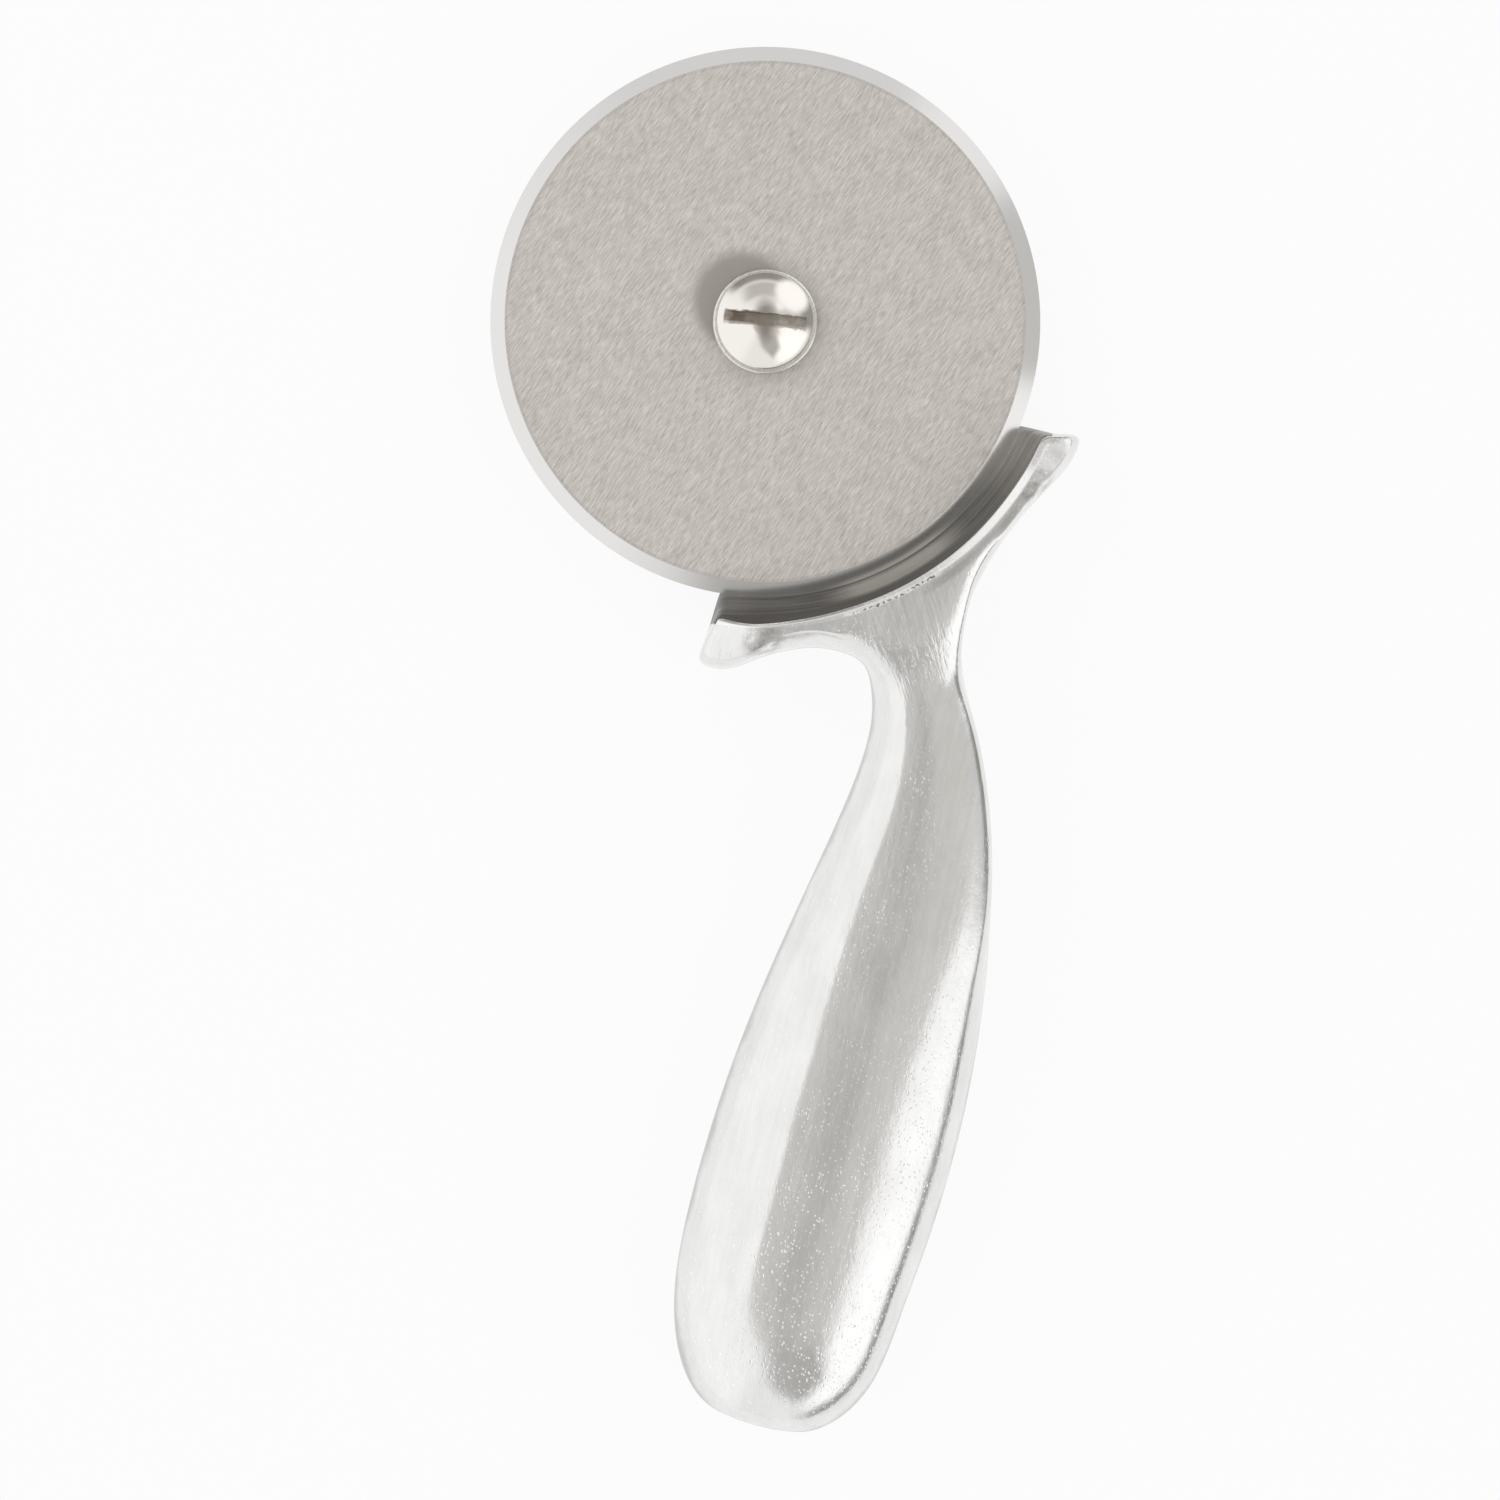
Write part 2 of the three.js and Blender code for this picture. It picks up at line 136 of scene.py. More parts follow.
start_bearing, _, _, start_radius, start_share = guard_stations[0]
outer = start_radius * mm
middle_reach = (rim + outer) / 2
bpy.ops.object.select_all(action="DESELECT")
bpy.ops.mesh.primitive_plane_add(
    size=2,
    location=out_from_axle(middle_reach, start_bearing),
    rotation=(math.pi / 2, 0, math.radians(start_bearing)),
)
handle = bpy.context.active_object
handle.name = "handle"
handle.scale = ((outer - rim) / 2, guard_depth / 2, 1)
bpy.ops.object.transform_apply(location=True, rotation=True, scale=True)
bpy.ops.object.mode_set(mode="EDIT")
pick("VERT", lambda v: reach(v.co) < middle_reach)
bpy.ops.mesh.bevel(offset=rim_chamfer, segments=1, affect="VERTICES")
pick("VERT", lambda v: reach(v.co) > middle_reach)
bpy.ops.mesh.bevel(offset=outer_round, segments=1, affect="VERTICES")
pick("VERT", lambda v: reach(v.co) > outer - tolerance)
stretch((1, 1, 0.8), axle)
pick("EDGE", lambda e: all(reach(v.co) < rim + tolerance for v in e.verts))
bpy.ops.mesh.subdivide(number_cuts=4)
pick("EDGE", lambda e: all(reach(v.co) > outer - tolerance for v in e.verts))
bpy.ops.mesh.subdivide(number_cuts=2)
# Lowest and highest point above the axle, and how far the wall leans in between them, in millimetres
for lowest, highest, inward in [(5, 9, 1.1), (0, 5, 2.7), (-5, 0, 5.6), (-9, -5, 6.6), (-13, -9, 3.0)]:
    pick("VERT", lambda v: reach(v.co) < rim + tolerance and lowest * mm <= v.co.z - axle.z < highest * mm)
    drawn_in = 1 - inward * mm / rim
    stretch((drawn_in, drawn_in, 1), axle)

# The section is drawn out around the wheel, and its rim, band, outer side and depth are set at each station.
same_bearing = 0.5
widest_band = 1.6
bpy.ops.mesh.select_all(action="SELECT")
stretch((1, 1, start_share), axle)
for before, after in zip(guard_stations, guard_stations[1:]):
    here, rim_here, band_here, outer_here, share_here = after
    here_before, rim_before, band_before, outer_before, share_before = before
    bpy.ops.mesh.extrude_region_move()
    turn(here - here_before, axle)
    stretch((1, 1, share_here / share_before), axle)
    for nearest, farthest, grow in [
        (rim_before + widest_band, 90, outer_here / outer_before),
        (rim_before + 0.2, rim_before + widest_band, (rim_here + band_here) / (rim_before + band_before)),
        (rim_before - 0.1, rim_before + 0.1, rim_here / rim_before),
    ]:
        pick(
            "VERT",
            lambda v: abs(bearing(v.co) - here) < same_bearing
            and nearest * mm < reach(v.co) < farthest * mm,
        )
        stretch((grow, grow, 1), axle)
    pick("VERT", lambda v: abs(bearing(v.co) - here) < same_bearing)
# The rim's band keeps two crisp edges, and the flat front turns into the rounded outer side at a softer one
past_band = rim + 1.7 * mm
towards_faces = 10.2 * mm
pick(
    "EDGE",
    lambda e: all(reach(v.co) < past_band and abs(v.co.z - axle.z) > towards_faces for v in e.verts)
    and abs(bearing(e.verts[0].co) - bearing(e.verts[1].co)) > same_bearing,
)
bpy.ops.transform.edge_crease(value=0.95)
pick(
    "EDGE",
    lambda e: all(
        reach(v.co) > past_band
        and abs(v.co.z - axle.z) > towards_faces
        and not neck_left < bearing(v.co) < neck_right
        for v in e.verts
    ),
)
bpy.ops.transform.edge_crease(value=0.6)
# The left arm's front rounds over more, towards the forefinger, and the right arm's less
for first, last, grow in [(-89, -75, 0.975), (-52, -48, 1.006), (-48, -34, 1.012), (-33, -30, 1.006)]:
    pick(
        "VERT",
        lambda v: first < bearing(v.co) < last and v.co.z - axle.z > 11 * mm and reach(v.co) > rim + 2 * mm,
    )
    stretch((grow, grow, 1), axle)
# Each tip's end slants outwards and is swollen a little, so that it rounds off blunt
for tip, slant in [(guard_stations[0][0], -2.0), (guard_stations[-1][0], 1.9)]:
    pick("VERT", lambda v: abs(bearing(v.co) - tip) < same_bearing and reach(v.co) > past_band)
    turn(slant, axle)
    pick("FACE", lambda f: len(f.verts) > 10 and abs(bearing(f.calc_center_median()) - tip) < 3)
    bpy.ops.mesh.inset(thickness=1.6 * mm)
    turn(math.copysign(0.5, slant), axle)

# The neck and grip hang from a gap left in the guard's outer side. The grip is a ring drawn out straight,
# widened at each station, and then leaned back a little at a time from its butt to its neck.
pick(
    "FACE",
    lambda f: neck_left < bearing(f.calc_center_median()) < neck_right
    and reach(f.calc_center_median()) > rim + 3 * mm
    and abs(f.normal.z) < 0.9,
)
bpy.ops.mesh.delete(type="FACE")
neck = out_from_axle(72.6 * mm, -67.3)
past_guard = 68 * mm
# Distance below the neck, half width and half depth in millimetres, and lean in degrees
grip_stations = [
    (0, 8.6, 11.2, -9.0),
    (6, 9.3, 11.4, 6.6),
    (14, 11.2, 11.8, 8.0),
    (25, 14.0, 12.4, 6.0),
    (40, 17.4, 12.9, 3.2),
    (58, 20.6, 13.2, 1.6),
    (78, 22.7, 13.3, 0.6),
    (98, 22.9, 13.2, 0),
    (114, 21.9, 12.8, -5.5),
    (127, 20.2, 11.8, 4.0),
    (136.1, 15.4, 9.2, 0),
    (141.2, 8.4, 5.2, 0),
]
_, start_width, start_depth, _ = grip_stations[0]
bpy.ops.mesh.primitive_circle_add(
    vertices=18, radius=start_width * mm, location=neck, rotation=(math.pi / 2, 0, 0)
)
stretch((1, 1, start_depth / start_width), neck)
for before, after in zip(grip_stations, grip_stations[1:]):
    bpy.ops.mesh.extrude_edges_move()
    shift(y=(before[0] - after[0]) * mm)
    stretch((after[1] / before[1], 1, after[2] / before[2]), neck - Vector((0, after[0] * mm, 0)))
bpy.ops.mesh.edge_face_add()
# Its front and back are flatter near the neck, and the flat fades out down the grip
for side in (1, -1):
    for nearest, farthest, flatten in [(68, 110, 0.5), (110, 128, 0.62), (128, 146, 0.8)]:
        pick(
            "VERT",
            lambda v: nearest * mm < reach(v.co) < farthest * mm and (v.co.z - axle.z) * side > 8 * mm,
        )
        stretch((1, 1, flatten), axle + Vector((0, 0, side * 10.9 * mm)))


def across_grip(point):
    """Where a point of the grip's cage lies across its width, from -1 at the left to 1 at the right."""
    below = (neck.y - point.y) / mm
    half_width = min(grip_stations, key=lambda station: abs(station[0] - below))[1] * mm
    return (point.x - neck.x) / half_width


def on_front(point, nearest, farthest):
    """Whether a point is on the grip's front, so many millimetres below the neck."""
    below = (neck.y - point.y) / mm
    return reach(point) > past_guard and nearest < below < farthest and point.z > axle.z


# A ridge runs down the left of the front, crisp near the neck and softer towards the butt
for nearest, farthest, crispness in [(-1, 60, 0.7), (55, 120, 0.55), (110, 130, 0.4)]:
    pick(
        "EDGE",
        lambda e: abs(e.verts[0].co.y - e.verts[1].co.y) > 3 * mm
        and all(on_front(v.co, nearest, farthest) and -0.4 < across_grip(v.co) < -0.3 for v in e.verts),
    )
    bpy.ops.transform.edge_crease(value=crispness)
# The front is squarer on the right than on the left, and the ridge keeps to the left along the middle of the
# grip. Each column of the cage, given by where it lies across the grip, is drawn out by a factor, outermost
# first.
for nearest, farthest, columns in [
    (-1, 4, [(0.8, 0.9, 1.1), (0.6, 0.7, 1.35), (0.3, 0.4, 1.3)]),
    (4, 30, [(0.8, 0.9, 1.14), (0.6, 0.7, 1.57), (0.3, 0.4, 1.45)]),
    (30, 45, [(0.8, 0.9, 1.13), (0.6, 0.7, 1.54), (0.3, 0.4, 1.4), (-0.4, -0.3, 1.3)]),
    (45, 65, [(0.8, 0.9, 1.09), (0.6, 0.7, 1.18), (0.3, 0.4, 1.2), (-0.4, -0.3, 1.22)]),
    (65, 90, [(0.8, 0.9, 1.06), (0.6, 0.7, 1.14), (0.3, 0.4, 1.2), (-0.4, -0.3, 1.15)]),
    (90, 130, [(0.8, 0.9, 1.06), (0.6, 0.7, 1.15), (0.3, 0.4, 1.25), (-0.4, -0.3, 1.04)]),
]:
    for inner, outermost, widen in columns:
        pick(
            "VERT",
            lambda v: on_front(v.co, nearest, farthest) and inner < across_grip(v.co) < outermost,
        )
        stretch((widen, 1, 1), neck)
for below, _, _, lean in reversed(grip_stations):
    pivot = neck - Vector((0, below * mm, 0))
    pick("VERT", lambda v: v.co.y < pivot.y + 0.5 * mm and reach(v.co) > past_guard)
    turn(-lean, pivot)
pick("EDGE", lambda e: e.is_boundary)
bpy.ops.mesh.bridge_edge_loops(number_cuts=1, interpolation="SURFACE", smoothness=0.9)

# The arm grows from the guard's inner side, below the wheel, and runs straight to the boss.
arm_bearing = (neck_left + neck_right) / 2
towards_axle = (axle - out_from_axle(rim, arm_bearing)).normalized()
pick(
    "FACE",
    lambda f: neck_left < bearing(f.calc_center_median()) < neck_right
    and reach(f.calc_center_median()) < rim
    and -7 * mm < f.calc_center_median().z - axle.z < -3 * mm,
)
for run, narrow, thicken, drop in [(3, 0.97, 1.08, 0.3), (14, 0.88, 1.0, 0.2), (30, 0.8, 1.0, 0)]:
    bpy.ops.mesh.extrude_region_move()
    step = towards_axle * run * mm
    shift(step.x, step.y, -drop * mm)
    shape = bmesh.from_edit_mesh(handle.data)
    chosen = [v.co for v in shape.verts if v.select]
    centre = sum(chosen, Vector()) / len(chosen)
    stretch((narrow, narrow, thicken), centre)
face_outwards()
rounding = handle.modifiers.new("rounding", "SUBSURF")
rounding.levels = 3
rounding.render_levels = 3
bpy.ops.object.modifier_apply(modifier=rounding.name)
bpy.ops.object.shade_smooth()


def upright_solid(name, sides, radius, bottom, top):
    """A many-sided solid around the axle, left in edit mode."""
    bpy.ops.object.select_all(action="DESELECT")
    bpy.ops.mesh.primitive_circle_add(
        vertices=sides, radius=radius, fill_type="NGON", location=(axle.x, axle.y, bottom)
    )
    piece = bpy.context.active_object
    piece.name = name
    bpy.ops.object.transform_apply(location=True, rotation=True, scale=True)
    bpy.ops.object.mode_set(mode="EDIT")
    bpy.ops.mesh.select_all(action="SELECT")
    bpy.ops.mesh.extrude_region_move()
    shift(z=top - bottom)
    return piece


def bore(width):
    """Leave a band of this width on both flat ends, and cut a hole through inside it."""
    pick("FACE", lambda f: len(f.verts) > 8)
    bpy.ops.mesh.inset(thickness=width)
    bpy.ops.mesh.delete(type="FACE")
    pick("EDGE", lambda e: e.is_boundary)
    bpy.ops.mesh.bridge_edge_loops()


def merge_solid(piece, tool, operation):
    """Join a tool's solid to a piece or cut the piece with it, and delete the tool."""
    bpy.ops.object.select_all(action="DESELECT")
    piece.select_set(True)
    bpy.context.view_layer.objects.active = piece
    step = piece.modifiers.new("step", "BOOLEAN")
    step.operation = operation
    step.object = tool
    bpy.ops.object.modifier_apply(modifier=step.name)
    bpy.data.objects.remove(tool)


# The boss is turned on the arm's end, with a hole for the screw, and the two become one solid.
boss_radius = 10.5 * mm
boss_edge = 0.9 * mm
boss_top = axle.z - 1.9 * mm
boss_bottom = axle.z - 8.4 * mm
screw_hole = 3.15 * mm
boss = upright_solid("boss", 96, boss_radius, boss_bottom, boss_top)
pick("EDGE", lambda e: abs(e.verts[0].co.z - e.verts[1].co.z) < tolerance)
bpy.ops.mesh.bevel(offset=boss_edge, segments=3)
bore(boss_radius - boss_edge - screw_hole)
face_outwards()
merge_solid(handle, boss, "UNION")
bpy.ops.object.shade_smooth_by_angle(angle=math.radians(35))


def add_node(tree, kind, settings=None, values=None):
    """Add a shader node with its settings and its sockets' values, by name or number."""
    node = tree.nodes.new(kind)
    for name, value in (settings or {}).items():
        setattr(node, name, value)
    for name, value in (values or {}).items():
        node.inputs[name].default_value = value
    return node


def effect_group(name, inputs, outputs):
    """An empty shader node group with float or vector sockets."""
    group = bpy.data.node_groups.new(name, "ShaderNodeTree")
    for label, kind, value in inputs:
        socket = group.interface.new_socket(name=label, in_out="INPUT", socket_type=kind)
        if value is not None:
            socket.default_value = value
    for label, kind in outputs:
        group.interface.new_socket(name=label, in_out="OUTPUT", socket_type=kind)
    return group, group.nodes.new("NodeGroupInput"), group.nodes.new("NodeGroupOutput")


# Fine straight marks, as polishing, grinding and use leave them: noise drawn out along one direction.
marks_group, given, result = effect_group(
    "straight_marks",
    [
        ("Vector", "NodeSocketVector", None),
        ("Turn", "NodeSocketFloat", 0.0),
        ("Across per metre", "NodeSocketFloat", 3000.0),
        ("Along per metre", "NodeSocketFloat", 200.0),
        ("From", "NodeSocketFloat", 0.4),
        ("To", "NodeSocketFloat", 0.7),
    ],
    [("Mark", "NodeSocketFloat")],
)
links = marks_group.links
swing = add_node(marks_group, "ShaderNodeVectorRotate", {"rotation_type": "Z_AXIS"})
spacing = add_node(marks_group, "ShaderNodeCombineXYZ")
drawn = add_node(marks_group, "ShaderNodeVectorMath", {"operation": "MULTIPLY"})
grain = add_node(marks_group, "ShaderNodeTexNoise", None, {"Scale": 1.0, "Detail": 2.0, "Roughness": 0.6})
cut_off = add_node(marks_group, "ShaderNodeMapRange", {"interpolation_type": "SMOOTHSTEP"})
links.new(given.outputs["Vector"], swing.inputs["Vector"])
links.new(given.outputs["Turn"], swing.inputs["Angle"])
links.new(given.outputs["Across per metre"], spacing.inputs["X"])
links.new(given.outputs["Along per metre"], spacing.inputs["Y"])
links.new(given.outputs["Across per metre"], spacing.inputs["Z"])
links.new(swing.outputs["Vector"], drawn.inputs[0])
links.new(spacing.outputs["Vector"], drawn.inputs[1])
links.new(drawn.outputs["Vector"], grain.inputs["Vector"])
links.new(grain.outputs["Fac"], cut_off.inputs["Value"])
links.new(given.outputs["From"], cut_off.inputs["From Min"])
links.new(given.outputs["To"], cut_off.inputs["From Max"])
links.new(cut_off.outputs["Result"], result.inputs["Mark"])

# Patches that handling and uneven polishing leave: soft clouds between a low and a high value.
patches_group, given, result = effect_group(
    "handling_patches",
    [
        ("Vector", "NodeSocketVector", None),
        ("Size per metre", "NodeSocketFloat", 80.0),
        ("Low", "NodeSocketFloat", 0.0),
        ("High", "NodeSocketFloat", 1.0),
    ],
    [("Value", "NodeSocketFloat")],
)
links = patches_group.links
cloud = add_node(patches_group, "ShaderNodeTexNoise", None, {"Detail": 5.0, "Roughness": 0.6})
between = add_node(patches_group, "ShaderNodeMapRange", None, {"From Min": 0.3, "From Max": 0.7})
links.new(given.outputs["Vector"], cloud.inputs["Vector"])
links.new(given.outputs["Size per metre"], cloud.inputs["Scale"])
links.new(cloud.outputs["Fac"], between.inputs["Value"])
links.new(given.outputs["Low"], between.inputs["To Min"])
links.new(given.outputs["High"], between.inputs["To Max"])
links.new(between.outputs["Result"], result.inputs["Value"])

# Pits that the casting leaves in a polished face: round hollows in a share of scattered cells.
pits_group, given, result = effect_group(
    "casting_pits",
    [
        ("Vector", "NodeSocketVector", None),
        ("Cells per metre", "NodeSocketFloat", 800.0),
        ("Share", "NodeSocketFloat", 0.3),
    ],
    [("Pit", "NodeSocketFloat")],
)
links = pits_group.links
cells = add_node(pits_group, "ShaderNodeTexVoronoi")
hollow = add_node(
    pits_group,
    "ShaderNodeMapRange",
    {"interpolation_type": "SMOOTHSTEP"},
    {"From Min": 0.34, "From Max": 0.05},
)
chosen = add_node(pits_group, "ShaderNodeMath", {"operation": "LESS_THAN"})
kept = add_node(pits_group, "ShaderNodeMath", {"operation": "MULTIPLY"})
links.new(given.outputs["Vector"], cells.inputs["Vector"])
links.new(given.outputs["Cells per metre"], cells.inputs["Scale"])
links.new(cells.outputs["Distance"], hollow.inputs["Value"])
links.new(cells.outputs["Color"], chosen.inputs[0])
links.new(given.outputs["Share"], chosen.inputs[1])
links.new(hollow.outputs["Result"], kept.inputs[0])
links.new(chosen.outputs["Value"], kept.inputs[1])
links.new(kept.outputs["Value"], result.inputs["Pit"])


def place_group(tree, group, vector, values):
    """A placed group's first output, with its vector linked."""
    node = add_node(tree, "ShaderNodeGroup", {"node_tree": group}, values)
    tree.links.new(vector, node.inputs["Vector"])
    return node.outputs[0]


def streaks(tree, vector, turned, across, along, start, end):
    """Straight marks at an angle in degrees, so many to the metre across and along them."""
    values = {"Across per metre": across, "Along per metre": along, "From": start, "To": end}
    return place_group(tree, marks_group, vector, {"Turn": math.radians(turned), **values})


def clouds(tree, vector, size, low, high):
    """Soft patches between two values, so many to the metre."""
    return place_group(tree, patches_group, vector, {"Size per metre": size, "Low": low, "High": high})


def piece_material(name, metallic):
    """A material with object coordinates ready for its marks."""
    material = bpy.data.materials.new(name)
    material.use_nodes = True
    tree = material.node_tree
    surface = tree.nodes["Principled BSDF"]
    surface.inputs["Metallic"].default_value = metallic
    place = add_node(tree, "ShaderNodeTexCoord")
    return material, tree, surface, place.outputs["Object"]


def blend_colour(tree, low, high, amount):
    """A colour between two, each given as numbers or by a node, by a mask."""
    mix = add_node(tree, "ShaderNodeMix", {"data_type": "RGBA"})
    for label, colour in [("A", low), ("B", high)]:
        if isinstance(colour, tuple):
            mix.inputs[label].default_value = (*colour, 1)
        else:
            tree.links.new(colour, mix.inputs[label])
    tree.links.new(amount, mix.inputs["Factor"])
    return mix.outputs["Result"]


def combine(tree, operation, value, *others):
    """A value taken through an arithmetic step with each of other values or numbers in turn."""
    for other in others:
        step = add_node(tree, "ShaderNodeMath", {"operation": operation})
        tree.links.new(value, step.inputs[0])
        if isinstance(other, (int, float)):
            step.inputs[1].default_value = other
        else:
            tree.links.new(other, step.inputs[1])
        value = step.outputs[0]
    return value


def add_shares(tree, value, shares):
    """A value with a share of each of others added to it."""
    for other, share in shares:
        value = combine(tree, "ADD", value, combine(tree, "MULTIPLY", other, share))
    return value


def off(tree, value, centre):
    """How far a value is from a centre."""
    size = add_node(tree, "ShaderNodeMath", {"operation": "ABSOLUTE"})
    tree.links.new(combine(tree, "SUBTRACT", value, centre), size.inputs[0])
    return size.outputs[0]


def ease(tree, value, start, end, kind="SMOOTHSTEP"):
    """A mask that is 0 where a value is at the start and 1 where it is at the end."""
    step = add_node(
        tree, "ShaderNodeMapRange", {"interpolation_type": kind}, {"From Min": start, "From Max": end}
    )
    tree.links.new(value, step.inputs["Value"])
    return step.outputs["Result"]


def distance_from(tree, place, point, factors):
    """How far the surface is from a point, with each axis weighted."""
    offset = add_node(tree, "ShaderNodeVectorMath", {"operation": "SUBTRACT"}, {1: point})
    weighted = add_node(tree, "ShaderNodeVectorMath", {"operation": "MULTIPLY"}, {1: factors})
    length = add_node(tree, "ShaderNodeVectorMath", {"operation": "LENGTH"})
    tree.links.new(place, offset.inputs[0])
    tree.links.new(offset.outputs["Vector"], weighted.inputs[0])
    tree.links.new(weighted.outputs["Vector"], length.inputs[0])
    return length.outputs["Value"]


def spot(tree, place, point, factors, outside, inside):
    """A soft spot around a point, from its outside to its inside distance."""
    return ease(tree, distance_from(tree, place, point, factors), outside, inside)


def mapped(tree, vector, kind, values):
    """A vector that is moved, turned or scaled."""
    node = add_node(tree, "ShaderNodeMapping", {"vector_type": kind}, values)
    tree.links.new(vector, node.inputs["Vector"])
    return node.outputs["Vector"]


def split_axes(tree, vector):
    """A vector's three parts."""
    node = add_node(tree, "ShaderNodeSeparateXYZ")
    tree.links.new(vector, node.inputs["Vector"])
    return node.outputs["X"], node.outputs["Y"], node.outputs["Z"]


def emboss(tree, surface, height, distance):
    """Bump a surface by a height."""
    bump = add_node(tree, "ShaderNodeBump", None, {"Distance": distance, "Strength": 1.0})
    tree.links.new(height, bump.inputs["Height"])
    tree.links.new(bump.outputs["Normal"], surface.inputs["Normal"])


# Polished cast aluminium: bright and a little uneven, streaked along the grip by the polishing belt, with
# pits left from the casting and marks from use
aluminium, tree, surface, place = piece_material("polished_cast_aluminium", 1.0)
x, y, z = split_axes(tree, mapped(tree, place, "POINT", {"Location": -axle}))
from_axle = distance_from(tree, place, axle, (1, 1, 0))
around = combine(tree, "MULTIPLY", combine(tree, "ARCTAN2", y, x), math.degrees(1))
grip_rake = 13
along_grip = mapped(
    tree, place, "POINT", {"Rotation": (0, 0, math.radians(grip_rake)), "Scale": (1, 0.5, 1)}
)
fine_pits = place_group(tree, pits_group, along_grip, {"Cells per metre": 2300.0, "Share": 0.5})
coarse_pits = place_group(tree, pits_group, along_grip, {"Cells per metre": 1350.0, "Share": 0.3})
near_butt = ease(tree, y, -127 * mm, -192 * mm)
pit_amount = add_shares(tree, clouds(tree, place, 70, -0.1, 1.1), [(near_butt, 0.6)])
pit_amount = combine(tree, "MAXIMUM", pit_amount, 0.0)
pits_and_glints = combine(tree, "MULTIPLY", combine(tree, "MAXIMUM", fine_pits, coarse_pits), pit_amount)
scratches = streaks(tree, place, grip_rake, 4000, 200, 0.62, 0.8)
belt_streaks = streaks(tree, place, grip_rake, 1100, 45, 0.25, 0.75)
ripple = clouds(tree, along_grip, 900, 0.0, 0.13)
swell = clouds(tree, place, 110, 0.0, 0.3)
worn = clouds(tree, place, 45, 0.1, 0.18)
cloudy = clouds(tree, along_grip, 160, 0.0, 1.0)
# Coarse sanding lines are left on the neck's front, and a ragged file mark along the rim above it.
neck_front = axle + Vector((25, -60, 12.5)) * mm
sanded = spot(tree, place, neck_front, (1, 1, 1), 16 * mm, 6 * mm)
sanding = combine(tree, "MULTIPLY", streaks(tree, place, -18, 1500, 40, 0.4, 0.75), sanded)
rim_front = out_from_axle(56.4 * mm, -65.5) + Vector((0, 0, 13 * mm))
waver = clouds(tree, place, 900, 56.1 * mm, 56.7 * mm)
ragged = combine(tree, "MAXIMUM", clouds(tree, place, 1500, -0.4, 1.6), 0.0)
filed = combine(
    tree,
    "MULTIPLY",
    spot(tree, place, rim_front, (1, 1, 1), 10.5 * mm, 8 * mm),
    ease(tree, off(tree, from_axle, waver), 0.36 * mm, 0.1 * mm),
    ragged,
)
# Between each ground tip and the polished front a few spots of dull casting skin are left.
beside_tips = [
    spot(tree, place, out_from_axle(far * mm, at) + Vector((0, 0, 12 * mm)), (1, 1, 0.5), 5 * mm, 2 * mm)
    for far, at in [(59.5, -90.5), (57.6, -32.0)]
]
spots = combine(tree, "MAXIMUM", clouds(tree, place, 260, -0.6, 1.3), 0.0)
spots = combine(tree, "MULTIPLY", combine(tree, "MAXIMUM", *beside_tips), spots)
# The flash at the mould's parting line is ground off along the outline, and leaves an uneven duller band,
# which is also darkened as painted shade along the outline.
band_edge = clouds(tree, place, 90, -1.2 * mm, 1.2 * mm)
parting_band_and_shade = ease(tree, combine(tree, "ADD", off(tree, z, 0.0), band_edge), 4.2 * mm, 1.6 * mm)
# The guard's inner wall and the arm behind the wheel keep the casting's dull skin, and the wall's dark colour
# is partly painted shade from the wheel in front of it. The wall is streaked along its curve, lighter in the
# middle of the guard and towards both ends, and painted darkest, as shade, under the left half of the rim.
_, _, facing_up = split_axes(tree, add_node(tree, "ShaderNodeNewGeometry").outputs["Normal"])
wall = combine(
    tree, "MULTIPLY", ease(tree, from_axle, 57 * mm, 56.6 * mm), ease(tree, facing_up, 0.66, 0.58)
)
skin = combine(tree, "MAXIMUM", wall, ease(tree, from_axle, 54.6 * mm, 54 * mm))
along_wall = add_node(tree, "ShaderNodeCombineXYZ")
tree.links.new(z, along_wall.inputs["X"])
tree.links.new(combine(tree, "MULTIPLY", around, math.radians(rim)), along_wall.inputs["Y"])
wall_streaks = streaks(tree, along_wall.outputs["Vector"], 0, 700, 30, 0.3, 0.75)
wall_lighter_middle = combine(
    tree,
    "MULTIPLY",
    ease(tree, off(tree, around, -62), 18, 6),
    ease(tree, off(tree, from_axle, 52.4 * mm), 1.8 * mm, 0.6 * mm),
)
# Painted shade under the left half of the rim
painted_shade_under_rim = combine(tree, "MULTIPLY", ease(tree, z, 5 * mm, 11 * mm), ease(tree, around, -38, -64))
right_end = combine(tree, "MULTIPLY", ease(tree, around, -42, -25), 0.4)
left_end = combine(tree, "MULTIPLY", ease(tree, around, -90, -98), 0.2)
skin_light = add_shares(tree, wall_lighter_middle, [(wall_streaks, 0.3), (painted_shade_under_rim, -0.35)])
skin_light = combine(tree, "ADD", skin_light, combine(tree, "MAXIMUM", right_end, left_end))
skin_and_shade_colour = blend_colour(tree, (0.13, 0.126, 0.12), (0.57, 0.55, 0.52), skin_light)
# A painted shadow line runs along the outer edge of the right arm's rim band.
painted_shadow_beside_band = combine(
    tree,
    "MULTIPLY",
    ease(tree, off(tree, around, -48), 14.9, 6.88),
    ease(tree, off(tree, from_axle, 57.9 * mm), 1.1 * mm, 0.3 * mm),
    ease(tree, z, 9 * mm, 11 * mm),
)
dulled_and_shaded = filed
for mark, share in [(parting_band_and_shade, 0.4), (spots, 0.7), (painted_shadow_beside_band, 0.3)]:
    dulled_and_shaded = combine(tree, "MAXIMUM", dulled_and_shaded, combine(tree, "MULTIPLY", mark, share))
